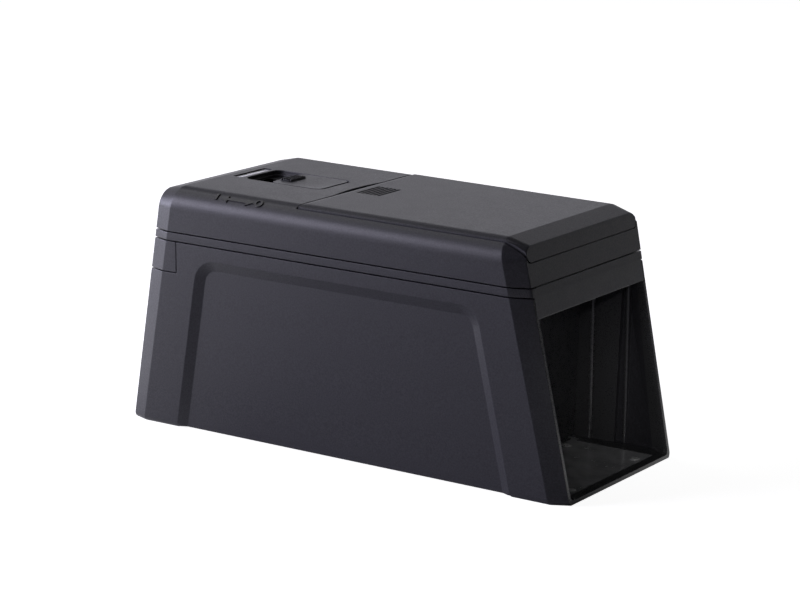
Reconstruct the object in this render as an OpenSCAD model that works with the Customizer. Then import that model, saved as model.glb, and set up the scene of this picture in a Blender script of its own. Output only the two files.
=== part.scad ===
// Battery-powered rat trap. A tunnel with two baffles runs over three electrode
// plates, and a deck above it carries the batteries and the high-voltage board.
// X points along the tunnel to the entrance, Y across it and Z up from the ground.
// The origin lies on the ground under the middle of the housing.

/* [Housing] */
// Length of the housing along the ground
housing_l = 267.8; // [262:0.2:274]
// Width of the housing along the ground
housing_w = 116.9; // [114:0.1:120]
// Height of the cover at the switch
cover_h = 129.8; // [127:0.1:132]
// Thickness of the moulded walls
wall = 2.4; // [2:0.1:2.6]
// Height of the floor of the tunnel
floor_t = 2; // [2:0.1:2.4]
// Height of the two feet that run across under the corner posts
foot_h = 0.8; // [0.5:0.1:0.9]
// Radius of the two long shoulders
shoulder_r = 11.5; // [9:0.5:13]
// Radius of the bottom edges
foot_r = 4; // [3.5:0.5:5]
// Outward lean of the side walls, in degrees
side_lean = 1.66; // [1:0.01:2]
// Backward lean of the entrance face, in degrees
front_lean = 12.8; // [12:0.1:13.5]
// Forward lean of the rear face, in degrees
rear_lean = 8.8; // [8:0.1:10]
// Fall of the top towards the entrance, in degrees
top_slope = 0.27; // [0:0.01:0.3]

/* [Bevels] */
// Length of the front corner bevels along the tunnel
front_bevel_l = 9.2; // [8:0.1:10]
// Width of the front corner bevels across the tunnel
front_bevel_w = 5.1; // [4.6:0.1:6.5]
// Drop of the front bevel below the top
front_bevel_drop = 3.2; // [2.5:0.1:4]
// Drop of the rear bevel below the top
rear_bevel_drop = 2.4; // [1.5:0.1:4]
// Length of the rear corner bevels along the tunnel
rear_bevel_l = 9.1; // [8:0.1:10]
// Width of the rear corner bevels across the tunnel
rear_bevel_w = 3.5; // [3:0.1:5]

/* [Seams] */
// Width of the open seams between the mouldings
seam = 0.6; // [0.4:0.1:0.7]
// Height of the seam between the cover and the band
cover_seam_z = 106.4; // [105.6:0.1:107]
// Height of the seam between the band and the base
base_seam_z = 101.6; // [101:0.1:102.2]
// Height of the seam under the ears of the rear door
ear_seam_z = 84.8; // [83:0.2:86]
// Height of the top edge of the entrance
entrance_h = 91.2; // [90.4:0.2:91.6]

/* [Side panels] */
// Depth of the panel sunk into each side
panel_depth = 2.4; // [2:0.1:2.4]
// Width of the sloping border round each sunk panel
panel_border = 5.3; // [4:0.1:6]
// Width of the corner posts beside each sunk panel
post_w = 31.2; // [29:0.2:34]
// Height of the top edge of the sunk panels
panel_h = 94; // [90:0.2:94.2]

/* [Tunnel] */
// Distance of the far baffle from the middle
far_baffle_x = 74.8; // [72:0.2:76]
// Distance of the near baffle from the middle
near_baffle_x = 20.8; // [14:0.2:26]
// Thickness of the baffles
baffle_t = 2.4; // [2:0.1:3]
// Thickness of the electrode plates
plate_t = 0.4; // [0.4:0.1:0.6]
// Width of the electrode plates
plate_w = 90; // [84:1:91]

/* [Battery lid] */
// Rise of the lid above the cover
lid_rise = 0.5; // [0.4:0.1:0.8]
// Wall thickness of the lid
lid_t = 2.2; // [2:0.1:2.3]
// Place of the lid's rear edge along the tunnel
lid_rear_x = -28.4; // [-30:0.2:-28]
// Half of the lid's width
lid_half_w = 55.6; // [54:0.2:56]
// Height of the lower edge of the lid's front flap
lid_flap_z = 118.4; // [117.8:0.1:119]
// Number of finger grooves in the lid
grip_grooves = 6; // [4:1:7]

/* [Switch and lamp] */
// Travel of the slide switch from off to on
switch_travel = 13; // [10:0.5:13.5]
// Half of the width of the slider plate
slider_half_w = 14.8; // [13:0.2:15]
// Half of the width of the lamp window
window_half_w = 14.3; // [10:0.1:14.5]

/* [Batteries] */
// Diameter of one C cell
cell_d = 26.2; // [25.5:0.1:26.2]
// Length of one C cell with its button
cell_l = 50; // [49:0.1:50]

/* [Hidden] */

black_plastic = "#3c3b42";
tunnel_plastic = "#2b2b2f";
plate_metal = "#8d8f94";
copper_green = "#1f5a3a";
thin = 0.02;
shoulder_steps = 72;
foot_steps = 32;
bore_steps = 40;
wire_sides = 8;
front_shoulder_r = 6.7;
rear_shoulder_r = 8.8;
top_bevel_l = 11;
rear_top_bevel_l = 10.2;
top_front_x = 94;
top_rear_x = -107;
top_level_x = -65;
side_wall = 2 * wall;
skirt_out = wall + 0.4;
skirt_in = wall + 2.2;
deck_z = 92;
deck_t = 2.2;
deck_top = deck_z + deck_t;
skirt_top = 109;
base_top = base_seam_z - seam / 2;
band_bottom = base_seam_z + seam / 2;
band_top = cover_seam_z - seam / 2;
cover_bottom = cover_seam_z + seam / 2;
header_half_w = 54.8;
lid_h = cover_h + lid_rise;
lid_ledge = wall + 0.3;
lid_ledge_in = lid_ledge + 2.2;
bay_half_w = 46;
bay_rear_x = -24;
lid_corner_r = 4;
door_half_w = 46;
door_foot_z = 3;
door_ear_x = -102;
door_gap = 0.3;
wall_step_x = 100;
guide_rib_x = 105;
guide_rib_r = 1.1;
far = 400;

plate_pocket = 0.6;
plate_z = floor_t - plate_pocket;
plate_gap = 1.8;
front_plate_x = [far_baffle_x + baffle_t + plate_gap, 127.4];
middle_plate_x = [near_baffle_x + baffle_t + plate_gap, far_baffle_x - plate_gap];
rear_plate_x = [-100, near_baffle_x - plate_gap];
rivet_inset = [4, 11.5];
rivet_d = 3;
rivet_head_d = 5.6;
rivet_head_h = 0.6;
rivet_crown_d = 3.4;
tab_y = [46.4, 49.6];

cell_z = 109;
cell_y = 13.6;
button_d = 6.8;
button_l = 1.8;
tray_x = [-22.2, 90.6];
tray_wall = 1.8;
tray_half_w = 29;
tray_h = 18;
contact_t = 0.5;
contact_rear_x = tray_x[0] + tray_wall;
contact_front_x = tray_x[1] - tray_wall;

board_z = 100;
board_t = 1.6;
board_top = board_z + board_t;
board_x = [-106, -34];
board_half_w = 40;
board_post_at = [[-100, 35], [-40, 35]];

pocket_x = [-91.8, -42.6];
pocket_half_w = slider_half_w + 0.7;
pocket_depth = 1.8;
pocket_floor = cover_h - pocket_depth;
pocket_pad = 2.4;
pocket_corner_r = 5;
well_x = [-90.4, -66.5];
well_half_w = 13.6;
well_depth = 1.4;
well_floor_t = 1.2;
well_slot_half_w = 5.4;
slider_x = [-75.2, -43.8];
slider_z = pocket_floor + 0.2;
slider_top = cover_h - 0.1;
pad_x = [-74.2, -66.6];
pad_half_w = 7.8;
pad_ribs = 5;
pad_rib_pitch = 1.45;
pad_rib_w = 0.6;
pad_rise = 0.2;
pad_rib_rise = 1.1;
stem_x = [-74.8, -67.4];
leg_x = [-74.2, -68.2];
lid_ramp = 2.4;
lid_gap = 0.8;
lid_side_gap = 1;
lid_foot_gap = 0.4;
grip_recess = 2.2;
grip_recess_half_w = 23;
grip_recess_r = (pow(grip_recess_half_w, 2) + pow(grip_recess, 2)) / (2 * grip_recess);
feature_lean = 1;
window_x = [-99.8, -94];
window_sink = 0.5;
knob_x = [-73, -69];

boss_h = 9.6;
rivet_low_z = foot_h + 0.3;
deck_screw_at = [[-15, 47.5], [90, 47.5]];
cover_post_at = [[-97, 47], [-40, 47], [96.4, 51.6]];
rim_post_top = 123.5;
tray_ear_at = [[4, 33.5], [66, 33.5]];
far_screw_y = [34.5, 50];
near_screw_y = [-50, -34.5];

// Half-width of the side walls at height z
function side_at(z) = housing_w / 2 + z * tan(side_lean);
// Place of the entrance face and of the rear face at height z
function front_at(z) = housing_l / 2 - z * tan(front_lean);
function rear_at(z) = -housing_l / 2 + z * tan(rear_lean);
// Fall of the top at place x below its height at the switch
function top_fall(x) = (x - top_level_x) * tan(top_slope);

// A thin disc at one corner of a cross-section that leans with an end face
module corner_disc(x_foot, lean, y, z, r, steps) {
    translate([x_foot - z * tan(lean), y, z])
        rotate([0, 90 - lean, 0])
            cylinder(r = r, h = thin, center = true, $fn = steps);
}

// One cross-section of the housing: two shoulder discs and two foot discs
module section(x_foot, lean, inset, top_z, top_r, foot_z, low_r) {
    top_c = top_z - top_r * cos(lean);
    low_c = foot_z + low_r * cos(lean);
    for (side = [-1, 1]) {
        corner_disc(x_foot, lean, side * (side_at(top_c) - inset - top_r), top_c, top_r,
            shoulder_steps);
        corner_disc(x_foot, lean, side * (side_at(low_c) - inset - low_r), low_c, low_r,
            foot_steps);
    }
}

// The housing's whole outer form, drawn in by inset: full sections between the
// bevels, and smaller ones at the end faces
module envelope(inset = 0, top_z = cover_h, foot_z = 0) {
    top_r = max(shoulder_r - inset, 2);
    front_r = max(front_shoulder_r - inset, 1.5);
    rear_r = max(rear_shoulder_r - inset, 1.5);
    low_r = max(foot_r - inset, 1);
    front_x = housing_l / 2 - inset / cos(front_lean);
    rear_x = -housing_l / 2 + inset / cos(rear_lean);
    front_bevel_lean = atan(tan(front_lean) + (top_bevel_l - front_bevel_l) / cover_h);
    rear_bevel_lean = atan(tan(rear_lean) - (rear_bevel_l - rear_top_bevel_l) / cover_h);
    front_top = top_z - inset - top_fall(top_front_x);
    rear_top = top_z - inset - top_fall(top_rear_x);
    hull() {
        section(front_x, front_lean, inset + front_bevel_w, front_top - front_bevel_drop,
            front_r, foot_z, low_r);
        section(front_x - front_bevel_l, front_bevel_lean, inset, front_top, top_r, foot_z,
            low_r);
        section(rear_x + rear_bevel_l, -rear_bevel_lean, inset, rear_top, top_r, foot_z, low_r);
        section(rear_x, -rear_lean, inset + rear_bevel_w, rear_top - rear_bevel_drop,
            rear_r, foot_z, low_r);
    }
}

// A box given by its ranges along X, Y and Z
module block(x, y, z) {
    translate([x[0], y[0], z[0]])
        cube([x[1] - x[0], y[1] - y[0], z[1] - z[0]]);
}

// Everything between two heights
module layer(z0, z1) {
    block([-far, far], [-far, far], [z0, z1]);
}

// A slab that lies along the entrance face, from a depth behind it to one before it
module front_slab(behind, before, half_w) {
    translate([housing_l / 2, 0, 0])
        rotate([0, -front_lean, 0])
            block([-behind, before], [-half_w, half_w], [-40, 180]);
}

// An upright cylinder between two heights
module upright(x, y, z0, z1, r, steps = bore_steps) {
    translate([x, y, z0])
        cylinder(r = r, h = z1 - z0, $fn = steps);
}

// Direction of a route at one of its points, and the ring of points round it there
function unit(v) = v / norm(v);
function run_at(points, i) = unit(points[i + 1] - points[i]);
function heading(points, i) =
    i == 0 ? run_at(points, 0) :
    i == len(points) - 1 ? run_at(points, i - 1) :
    unit(run_at(points, i - 1) + run_at(points, i));
function ring_at(points, i, r) =
    let (ahead = heading(points, i), across = unit(cross(ahead, [0.13, 0.95, 0.28])))
    let (over = cross(ahead, across))
    [for (k = [0 : wire_sides - 1])
        points[i] + r * (cos(k * 360 / wire_sides) * across + sin(k * 360 / wire_sides) * over)];

// A wire that follows its points, swept as one closed tube
module wire(points, d) {
    n = wire_sides;
    last = len(points) - 1;
    sides = [for (i = [0 : last - 1], k = [0 : n - 1], half = [0, 1])
        let (a = i * n + k, b = i * n + (k + 1) % n)
            half == 0 ? [a, b, b + n] : [a, b + n, a + n]];
    ends = [for (k = [1 : n - 2], far_end = [0, 1])
        far_end == 0 ? [0, k + 1, k] : [last * n, last * n + k, last * n + k + 1]];
    polyhedron([for (i = [0 : last]) each ring_at(points, i, d / 2)], concat(sides, ends));
}

// A pan-head screw that points down, with its head resting at height z
module screw_down(x, y, z, d, length) {
    upright(x, y, z - length, z, d / 2);
    difference() {
        upright(x, y, z, z + d * 0.6, d);
        translate([x, y, z + d * 0.6])
            cross_slot(d);
    }
}

// A pan-head screw that points up, with its head under height z
module screw_up(x, y, z, d, length) {
    translate([0, 0, 2 * z])
        mirror([0, 0, 1])
            screw_down(x, y, z, d, length);
}

// The cross recess in a screw head
module cross_slot(d) {
    for (turn = [0, 90])
        rotate([0, 0, turn])
            cube([d * 1.1, d * 0.22, d * 0.5], center = true);
}

// The outline of a sunk side panel, in a corner post's own lean, drawn in by inset
module panel_face(inset, depth) {
    corner_r = 13 - inset;
    low = -12;
    high = panel_h - inset;
    for (z = [low, high - corner_r], end = [-1, 1]) {
        x_end = end > 0 ? front_at(z) : rear_at(z);
        translate([x_end - end * (post_w + inset + corner_r), depth, z])
            rotate([90, 0, 0])
                cylinder(r = corner_r, h = thin, center = true, $fn = 48);
    }
}

// The space sunk into one side wall, with a sloping border all round
module panel_cut() {
    translate([0, -housing_w / 2, 0])
        rotate([side_lean, 0, 0])
            hull() {
                panel_face(-panel_border / panel_depth, -1);
                panel_face(panel_border, panel_depth);
            }
}

// The space that the rear door takes out of the base, widened by grow
module door_space(grow) {
    difference() {
        union() {
            block([-far, -90], [-door_half_w - grow, door_half_w + grow],
                [door_foot_z - grow, base_top + 1]);
            block([-far, door_ear_x + grow], [-far, far], [ear_seam_z - grow, base_top + 1]);
        }
        envelope(wall + grow);
    }
}

// The tub of the housing: floor, drafted side walls with sunk panels, corner posts
module base_shell() {
    color(black_plastic)
        difference() {
            union() {
                difference() {
                    intersection() {
                        envelope(0, foot_z = -0.4);
                        layer(0, base_top);
                    }
                    // tunnel between the posts, with walls of double thickness
                    intersection() {
                        envelope(side_wall, foot_z = floor_t);
                        layer(floor_t, deck_z + 1);
                    }
                    // wider part by the entrance, and the seat of the deck
                    intersection() {
                        envelope(wall, foot_z = floor_t);
                        union() {
                            block([wall_step_x, far], [-far, far], [floor_t, deck_z + 1]);
                            layer(deck_z, base_top + 1);
                        }
                    }
                }
                for (side = [-1, 1]) {
                    guide_rib(side);
                    for (at = deck_screw_at)
                        deck_boss(at[0], side * at[1], side);
                }
            }
            // entrance, open to the floor
            intersection() {
                hull()
                    for (step = [-1, 7])
                        section(housing_l / 2 - wall / cos(front_lean) + step, front_lean,
                            wall + front_bevel_w, 110, 1.5, floor_t, 2.6);
                layer(floor_t, entrance_h - door_gap);
            }
            // room for the header
            intersection() {
                front_slab(skirt_in + door_gap, 8, header_half_w + door_gap);
                layer(entrance_h - door_gap, base_top + 1);
            }
            for (turn = [0, 1])
                mirror([0, turn, 0])
                    panel_cut();
            // raised underside between the two feet
            block([rear_at(0) + post_w, front_at(0) - post_w], [-far, far], [-1, foot_h]);
            door_space(door_gap);
            // opening behind the rear door
            block([-far, -100], [-door_half_w + 3, door_half_w - 3], [7, 89]);
            for (x = [front_plate_x, middle_plate_x, rear_plate_x])
                block([x[0] - 0.2, x[1] + 0.2], [-plate_w / 2 - 0.2, plate_w / 2 + 0.2],
                    [plate_z, floor_t + 1]);
            lead_tab(0.2);
            for (x = [front_plate_x, middle_plate_x, rear_plate_x])
                plate_rivet_stems(x, rivet_low_z);
            for (side = [-1, 1], at = deck_screw_at)
                upright(at[0], side * at[1], deck_z - boss_h + 1.2, deck_z + 1, 1.4);
        }
}

// A rib on a side wall by the entrance, with a round edge, which guides the deck's front end
module guide_rib(side) {
    intersection() {
        translate([guide_rib_x, side * (side_at(0) - wall), 0])
            rotate([0, -feature_lean, 0]) {
                translate([0, 0, -1])
                    cylinder(r = guide_rib_r, h = 140, $fn = bore_steps);
                block([-guide_rib_r, guide_rib_r], side > 0 ? [0, 8] : [-8, 0], [-1, 139]);
            }
        translate([0, side * (side_at(0) - wall), 0])
            rotate([-side * side_lean, 0, 0])
                block([0, far], side > 0 ? [-8, 1] : [-1, 8], [-1, 140]);
        layer(floor_t - 0.2, deck_z - 0.4);
    }
}

// A boss on a side wall that takes one of the deck's screws
module deck_boss(x, y, side) {
    upright(x, y, deck_z - boss_h, deck_z, 4.5);
    block([x - 2, x + 2], side > 0 ? [y, side_at(84) - 3.4] : [-side_at(84) + 3.4, y],
        [deck_z - boss_h, deck_z]);
}

// The tray that closes the tunnel: deck, upright skirt, outer band and header
module mid_frame() {
    color(black_plastic)
        difference() {
            union() {
                difference() {
                    union() {
                        intersection() {
                            envelope(0);
                            layer(band_bottom, band_top);
                        }
                        intersection() {
                            envelope(skirt_out);
                            layer(deck_z, skirt_top);
                        }
                        intersection() {
                            front_slab(skirt_in, 0, header_half_w);
                            layer(entrance_h, band_top);
                        }
                    }
                    intersection() {
                        envelope(skirt_in);
                        layer(deck_top, skirt_top + 1);
                    }
                }
                for (side = [-1, 1], at = board_post_at)
                    upright(at[0], side * at[1], deck_top - 0.5, board_z, 3.5);
            }
            for (side = [-1, 1]) {
                for (at = deck_screw_at)
                    upright(at[0], side * at[1], deck_z - 1, deck_top + 1, 1.7);
                for (at = cover_post_at)
                    upright(at[0], side * at[1], deck_z - 1, deck_top + 1, 1.7);
                for (at = board_post_at)
                    upright(at[0], side * at[1], deck_top, board_z + 1, 1.1);
                for (at = tray_ear_at)
                    upright(at[0], side * at[1], deck_z - 1, deck_top + 1, 1.2);
            }
            for (y = far_screw_y)
                upright(far_baffle_x + baffle_t / 2 - 3.2, y, deck_z - 1, deck_top + 1, 1.3);
            for (y = near_screw_y)
                upright(near_baffle_x + baffle_t / 2 - 3.2, y, deck_z - 1, deck_top + 1, 1.3);
            for (at = lead_holes)
                upright(at[0], at[1], deck_z - 1, deck_top + 1, 1.4);
        }
}

// The rounded outline of the lid seen from the entrance, widened at its sides and at its foot
module lid_outline(side_gap = 0, foot_gap = 0) {
    half = lid_half_w + side_gap;
    low = lid_flap_z - foot_gap;
    rotate([90, 0, 90])
        linear_extrude(far)
            union() {
                translate([-half, low + lid_corner_r])
                    square([2 * half, 60]);
                translate([-half + lid_corner_r, low])
                    square([2 * (half - lid_corner_r), 60]);
                for (side = [-1, 1])
                    translate([side * (half - lid_corner_r), low + lid_corner_r])
                        circle(r = lid_corner_r, $fn = 48);
            }
}

// A rounded flat plate between two heights
module rounded_plate(x, half_w, z, r) {
    translate([0, 0, z[0]])
        linear_extrude(z[1] - z[0])
            union() {
                translate([x[0] + r, -half_w])
                    square([x[1] - x[0] - 2 * r, 2 * half_w]);
                translate([x[0], -half_w + r])
                    square([x[1] - x[0], 2 * half_w - 2 * r]);
                for (cx = [x[0] + r, x[1] - r], cy = [-half_w + r, half_w - r])
                    translate([cx, cy])
                        circle(r = r, $fn = 48);
            }
}

// The cover: shoulders, switch pocket, lamp window and the ledge under the lid
module top_cover() {
    color(black_plastic)
        difference() {
            union() {
                difference() {
                    intersection() {
                        envelope(0);
                        layer(cover_bottom, cover_h + 1);
                    }
                    difference() {
                        envelope(wall);
                        // thicker rim round the lid
                        difference() {
                            block([lid_rear_x - 3, far], [-far, far], [115.5, far]);
                            envelope(lid_ledge_in);
                        }
                    }
                }
                block([pocket_x[0] - 0.9, pocket_x[1] + 2],
                    [-pocket_half_w - 2, pocket_half_w + 2],
                    [pocket_floor - pocket_pad, cover_h - 1]);
                block([pocket_x[0] - 0.9, well_x[1] + 1.6],
                    [-well_half_w - 1.6, well_half_w + 1.6],
                    [pocket_floor - well_depth - well_floor_t, pocket_floor]);
                for (side = [-1, 1], at = cover_post_at)
                    upright(at[0], side * at[1], deck_top, at[0] > 0 ? rim_post_top : cover_h - 1.8,
                        3.6);
            }
            // seat of the lid
            difference() {
                translate([lid_rear_x - lid_gap, 0, 0])
                    lid_outline(lid_side_gap, lid_foot_gap);
                envelope(lid_ledge);
            }
            // finger recess behind the lid
            intersection() {
                upright(lid_rear_x - lid_gap - grip_recess + grip_recess_r, 0, cover_h - 1.6,
                    cover_h + 1, grip_recess_r, 240);
                block([lid_rear_x - 4, lid_rear_x], [-30, 30], [cover_h - 1.6, cover_h + 1]);
            }
            // battery bay, open to the front under the lid's flap
            block([bay_rear_x, far], [-bay_half_w, bay_half_w], [lid_flap_z + 0.2, far]);
            block([88, far], [-bay_half_w - 2.2, bay_half_w + 2.2],
                [lid_flap_z + 0.2, cover_h - lid_ledge_in - 0.4]);
            rounded_plate(pocket_x, pocket_half_w, [pocket_floor, cover_h + 1],
                pocket_corner_r);
            rounded_plate(well_x, well_half_w, [pocket_floor - well_depth, pocket_floor + 1], 5);
            block([well_x[0] + 0.4, well_x[1] - 0.6], [-well_slot_half_w, well_slot_half_w],
                [pocket_floor - 8, pocket_floor]);
            rounded_plate(window_x, window_half_w + 0.2, [cover_h - 6, cover_h + 1], 1.2);
            for (side = [-1, 1], at = cover_post_at)
                upright(at[0], side * at[1], deck_top - 1, deck_top + 12, 1.4);
        }
}

// The sliding battery lid, with its front flap, hooked rails and finger grooves
module battery_lid() {
    rail_y = bay_half_w - 0.8;
    color(black_plastic)
        difference() {
            union() {
                intersection() {
                    difference() {
                        envelope(0, lid_h);
                        envelope(lid_t, lid_h);
                    }
                    translate([lid_rear_x, 0, 0])
                        lid_outline();
                }
                block([lid_rear_x, lid_rear_x + 2], [-48, 48], [cover_h - 2.2, lid_h - 1]);
                for (side = [-1, 1]) {
                    lid_rail(side * (rail_y - 1), 1);
                    translate([0, side * (rail_y + 0.2), 0])
                        block([-20, 84], [-2, 2], [121, 122.6]);
                    lid_rib(side * cell_y);
                }
            }
            // ramp down to the cover along the rear edge
            translate([lid_rear_x, 0, cover_h - top_fall(lid_rear_x)])
                rotate([0, -atan(lid_rise / lid_ramp), 0])
                    block([-5, norm([lid_ramp, lid_rise])], [-60, 60], [0, 5]);
            for (i = [0 : grip_grooves - 1])
                translate([-22.2 + i * 2.5, 0, lid_h - top_fall(-16)])
                    cube([1.2, 20.8, 1.8], center = true);
        }
}

// One upright rail under the lid, which carries a hook along its foot
module lid_rail(y, half_t) {
    block([-20, 84], [y - half_t, y + half_t], [121, lid_h - 1.5]);
}

// One rib under the lid that holds the cells down
module lid_rib(y) {
    block([-18, 86], [y - 0.8, y + 0.8], [cell_z + cell_d / 2 + 0.4, lid_h - 1.5]);
}

// The rear door with its two ears, inner lip and scent holes
module rear_door() {
    color(black_plastic)
        difference() {
            union() {
                difference() {
                    intersection() {
                        envelope(0);
                        union() {
                            block([-far, -90], [-door_half_w, door_half_w],
                                [door_foot_z, base_top]);
                            block([-far, door_ear_x], [-far, far], [ear_seam_z + 0.2, base_top]);
                        }
                    }
                    envelope(wall);
                }
                // lip that grips the opening of the base
                difference() {
                    intersection() {
                        envelope(wall - 0.4);
                        block([-far, rear_at(90) + 9], [-42.6, 42.6], [7.4, 88.6]);
                    }
                    block([-far, far], [-40.8, 40.8], [9.2, 86.8]);
                    envelope(9);
                }
            }
            for (row = [0 : 2], col = [-2 : 2])
                translate([-far / 2, col * 9, 58 + row * 9])
                    rotate([0, 90, 0])
                        cylinder(d = 4.2, h = far / 2 - 90, $fn = bore_steps);
        }
}

// The cup for the bait, on a bracket that fits the slope of the door
module bait_cup() {
    cup_x = -100;
    color("#d9d6cc")
        difference() {
            intersection() {
                envelope(wall);
                union() {
                    upright(cup_x, 0, 34, 47, 15, 64);
                    block([-far, cup_x], [-15, 15], [34, 47]);
                }
            }
            upright(cup_x, 0, 36, 48, 13.2, 64);
        }
}

// A baffle that stands across the tunnel, rooted on the side wall at side
module baffle(x, side, lead_y) {
    free_y = 2;
    intersection() {
        envelope(side_wall + 0.1, foot_z = floor_t - 1);
        difference() {
            union() {
                block([x, x + baffle_t], side > 0 ? [-free_y, far] : [-far, free_y],
                    [floor_t, deck_z]);
                upright(x + baffle_t / 2, -side * free_y, floor_t, deck_z, baffle_t * 0.7);
                // flange along the side wall, ended by a round bead
                translate([x, side * (housing_w / 2 - side_wall), 0])
                    rotate([0, -feature_lean, 0]) {
                        block([-9.6, 10.4], side > 0 ? [-1.6, far] : [-far, 1.6], [-1, 120]);
                        translate([10.8, -side * 0.4, -1])
                            cylinder(r = 1.5, h = 120, $fn = bore_steps);
                    }
                // channel for the leads behind the plate
                block([x - 9.2, x + 0.1], side > 0 ? [lead_y - 2.6, far] : [-far, lead_y + 2.6],
                    [floor_t + 0.6, deck_z]);
                // bosses for the screws from the deck
                for (y = side > 0 ? far_screw_y : near_screw_y)
                    upright(x + baffle_t / 2 - 3.2, y, deck_z - 14, deck_z, 3.4);
            }
            layer(deck_z - 0.05, far);
            layer(-far, floor_t);
            for (y = side > 0 ? far_screw_y : near_screw_y)
                upright(x + baffle_t / 2 - 3.2, y, deck_z - 10, deck_z + 1, 1.1);
            for (at = lead_holes)
                upright(at[0], at[1], -1, deck_z + 1, 1.3);
        }
    }
}

// The baffle on the far side wall
module far_baffle() {
    color(tunnel_plastic)
        difference() {
            baffle(far_baffle_x, 1, 43);
            // notch over the front plate's tab
            block([far_baffle_x - 4, far_baffle_x + baffle_t + 1], [tab_y[0] - 0.5, tab_y[1] + 0.5],
                [0, floor_t + 1.2]);
        }
}

// The baffle on the near side wall
module near_baffle() {
    color(tunnel_plastic)
        baffle(near_baffle_x, -1, -43);
}

// The places where the electrode leads pass the deck and run down to the plates
lead_holes = [[far_baffle_x - 5.2, 48], [far_baffle_x - 5.2, 43], [near_baffle_x - 5.2, -43]];

// One electrode plate of the tunnel floor, with its rivet holes
module electrode(x) {
    difference() {
        block(x, [-plate_w / 2, plate_w / 2], [plate_z, plate_z + plate_t]);
        plate_rivet_stems(x, plate_z - 1);
    }
}

// The four rivet stems of one electrode plate, from height z0 up to its top face
module plate_rivet_stems(x, z0) {
    for (px = [x[0] + rivet_inset[0], x[1] - rivet_inset[0]], side = [-1, 1])
        upright(px, side * (plate_w / 2 - rivet_inset[1]), z0, plate_z + plate_t + 0.2,
            rivet_d / 2);
}

// The tab that takes the front plate's lead past the far baffle
module lead_tab(grow) {
    block([lead_holes[0][0] - 2 - grow, front_plate_x[0] + 3],
        [tab_y[0] - grow, tab_y[1] + grow], [plate_z, plate_z + plate_t + grow]);
    block([front_plate_x[0] - grow, front_plate_x[0] + 3],
        [plate_w / 2 - 1, tab_y[1] + grow], [plate_z, plate_z + plate_t + grow]);
}

module front_plate() {
    color(plate_metal)
        union() {
            electrode(front_plate_x);
            lead_tab(0);
        }
}

module middle_plate() {
    color(plate_metal)
        electrode(middle_plate_x);
}

module rear_plate() {
    color(plate_metal)
        electrode(rear_plate_x);
}

// The rivets of the three plates, each with a low tapered head
module plate_rivets() {
    color("#b9bbbf")
        for (x = [front_plate_x, middle_plate_x, rear_plate_x]) {
            plate_rivet_stems(x, rivet_low_z);
            for (px = [x[0] + rivet_inset[0], x[1] - rivet_inset[0]], side = [-1, 1])
                translate([px, side * (plate_w / 2 - rivet_inset[1]), plate_z + plate_t])
                    cylinder(d1 = rivet_head_d, d2 = rivet_crown_d, h = rivet_head_h,
                        $fn = bore_steps);
        }
}

// The slider plate of the switch, with its thumb pad, hooked legs and stem
module switch_slider() {
    hook_y = well_slot_half_w + 1.6;
    hook_z = pocket_floor - well_depth - well_floor_t - 0.4;
    color(black_plastic)
        difference() {
            union() {
                rounded_plate(slider_x, slider_half_w, [slider_z, slider_top],
                    pocket_corner_r - 0.7);
                rounded_plate(pad_x, pad_half_w, [slider_z, slider_top + pad_rise], 2);
                for (i = [0 : pad_ribs - 1])
                    translate([pad_x[0] + 0.6 + i * pad_rib_pitch, 0, 0])
                        block([0, pad_rib_w],
                        [-pad_half_w + 1, pad_half_w - 1], [slider_top, slider_top + pad_rib_rise]);
                block(stem_x, [-4.6, 4.6], [109.5, slider_z + 0.5]);
                // hooks under the floor of the well
                block(leg_x, [-hook_y, hook_y], [hook_z - 1.4, hook_z]);
            }
            block([knob_x[0] - 0.3, knob_x[1] + 0.3], [-1.6, 1.6], [109, 113.6]);
        }
}

// The moving knob of the slide switch, which sits in the foot of the stem
module switch_knob() {
    color("#e6e6e6")
        union() {
            block(knob_x, [-1.3, 1.3], [106.4, 113.3]);
            block([knob_x[0] - 0.6, knob_x[1] + 0.6], [-2.6, 2.6], [104.4, 106.4]);
        }
}

// The body of the slide switch on the board
module slide_switch() {
    color("#a9adb3")
        difference() {
            block([-91, -62], [-5, 5], [board_top, 108.6]);
            block([-88, -68], [-3, 3], [104, 106.8]);
            block([-88, -68], [-1.7, 1.7], [106, 109]);
        }
}

// The lamp window with its flange and the light pipe down to the lamp
module indicator_window() {
    color("#f4f4f0")
        union() {
            rounded_plate([window_x[0] + 0.2, window_x[1] - 0.2], window_half_w,
                [cover_h - 3.4, cover_h - window_sink], 1);
            block([window_x[0] - 1, window_x[1] - 0.2], [-window_half_w - 1.8, window_half_w + 1.8],
                [cover_h - wall - 1.6, cover_h - wall]);
            upright((window_x[0] + window_x[1]) / 2, 0, 108.5, cover_h - 3, 2.5);
        }
}

// The lamp on the board
module indicator_led() {
    x = (window_x[0] + window_x[1]) / 2;
    color("#d8f0d8")
        union() {
            upright(x, 0, board_top + 0.8, board_top + 1.8, 2.9);
            upright(x, 0, board_top + 0.8, 105.4, 2.5);
            translate([x, 0, 105.4])
                sphere(r = 2.5, $fn = 48);
            for (side = [-1, 1])
                upright(x, side * 1.27, board_z - 1.2, board_top + 1, 0.3, 16);
        }
}

// The board with its four screw holes
module circuit_board() {
    color(copper_green)
        difference() {
            block(board_x, [-board_half_w, board_half_w], [board_z, board_top]);
            for (side = [-1, 1], at = board_post_at)
                upright(at[0], side * at[1], board_z - 1, board_top + 1, 1.4);
            for (side = [-1, 1])
                upright((window_x[0] + window_x[1]) / 2, side * 1.27, board_z - 1, board_top + 1,
                    0.4, 16);
        }
}

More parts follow.
